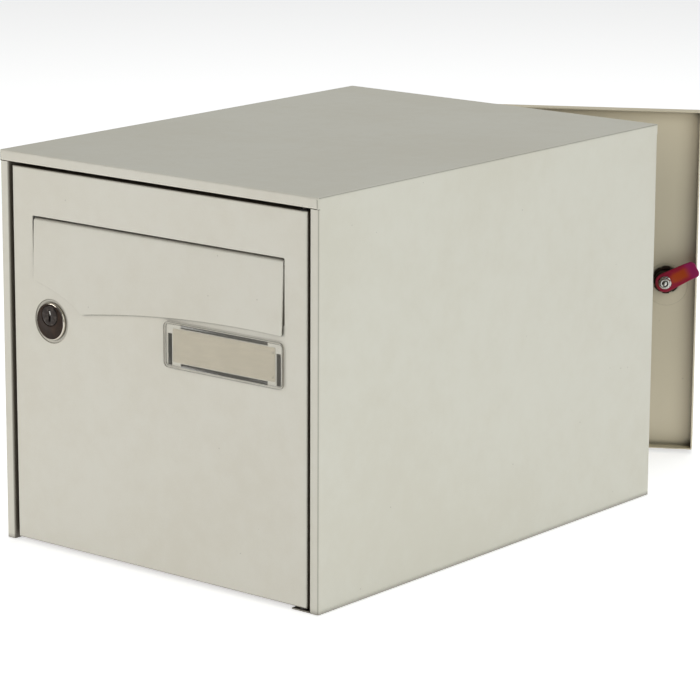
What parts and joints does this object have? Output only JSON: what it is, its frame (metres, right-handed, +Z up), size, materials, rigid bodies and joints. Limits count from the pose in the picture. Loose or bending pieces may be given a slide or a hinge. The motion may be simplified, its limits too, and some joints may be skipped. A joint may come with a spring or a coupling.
{
  "type": "parcel drop box",
  "caption": "Double-fronted sheet steel letter and parcel box: front door with a letter flap, cam lock and name holder, and a cam-locked rear door standing ajar.",
  "frame": {"origin": "centre of the underside, at the middle of the four floor fixing holes", "axes": "+X to the right of somebody facing the letter flap, +Y to the rear, +Z up"},
  "size_m": [0.3, 0.5426, 0.292],
  "materials": {
    "ivory_paint": "semi-gloss powder coat on sheet steel",
    "zinc_steel": "zinc plated",
    "nylon": "black nylon",
    "buffer_rubber": "soft black rubber",
    "lock_black": "glossy dark brown-black moulding",
    "dark_steel": "black plated",
    "plug_metal": "nickel plated",
    "cam_red": "glossy red enamel",
    "clear_plastic": "clear moulded plastic",
    "card_paper": "plain beige card"
  },
  "bodies": {
    "casing": {"casing_wrap": "ivory_paint", "floor_panel": "ivory_paint", "front_hinge_pins": "dark_steel", "rear_hinge_pins": "dark_steel", "hinge_clips": "zinc_steel", "front_strike": "zinc_steel", "rear_strike": "zinc_steel"},
    "front_door": {"front_door_panel": "ivory_paint", "front_hinge_bushes": "nylon", "flap_brackets": "zinc_steel", "flap_rod": "zinc_steel", "flap_buffers": "buffer_rubber", "front_lock_housing": "lock_black", "front_lock_nut": "lock_black", "name_cover": "clear_plastic", "name_card": "card_paper"},
    "flap": {"letter_flap": "ivory_paint"},
    "front_lock": {"front_lock_plug": "dark_steel", "front_lock_cam": "cam_red", "front_cam_nut": "plug_metal"},
    "rear_door": {"rear_door_panel": "ivory_paint", "rear_hinge_bushes": "nylon", "rear_lock_housing": "lock_black", "rear_lock_nut": "lock_black"},
    "rear_lock": {"rear_lock_plug": "dark_steel", "rear_lock_cam": "cam_red", "rear_cam_nut": "plug_metal"}
  },
  "joints": [
    {"name": "front_door_hinge", "type": "hinge", "parent": "casing", "child": "front_door", "pos_m": [0.1351, -0.1979, 0.142], "axis": [0, 0, 1], "range_deg": [0, 110]},
    {"name": "letter_flap_hinge", "type": "hinge", "parent": "front_door", "child": "flap", "pos_m": [0.0008, -0.1993, 0.2429], "axis": [-1, 0, 0], "range_deg": [0, 75]},
    {"name": "front_lock_turn", "type": "hinge", "parent": "front_door", "child": "front_lock", "pos_m": [-0.1007, -0.2019, 0.1757], "axis": [0, 1, 0], "range_deg": [0, 90]},
    {"name": "rear_door_hinge", "type": "hinge", "parent": "casing", "child": "rear_door", "pos_m": [-0.1351, 0.1979, 0.142], "axis": [0, 0, 1], "range_deg": [-30, 80]},
    {"name": "rear_lock_turn", "type": "hinge", "parent": "rear_door", "child": "rear_lock", "pos_m": [0.07915, 0.32621, 0.142], "axis": [-0.5, 0.866, 0], "range_deg": [-62, 28]}
  ]
}
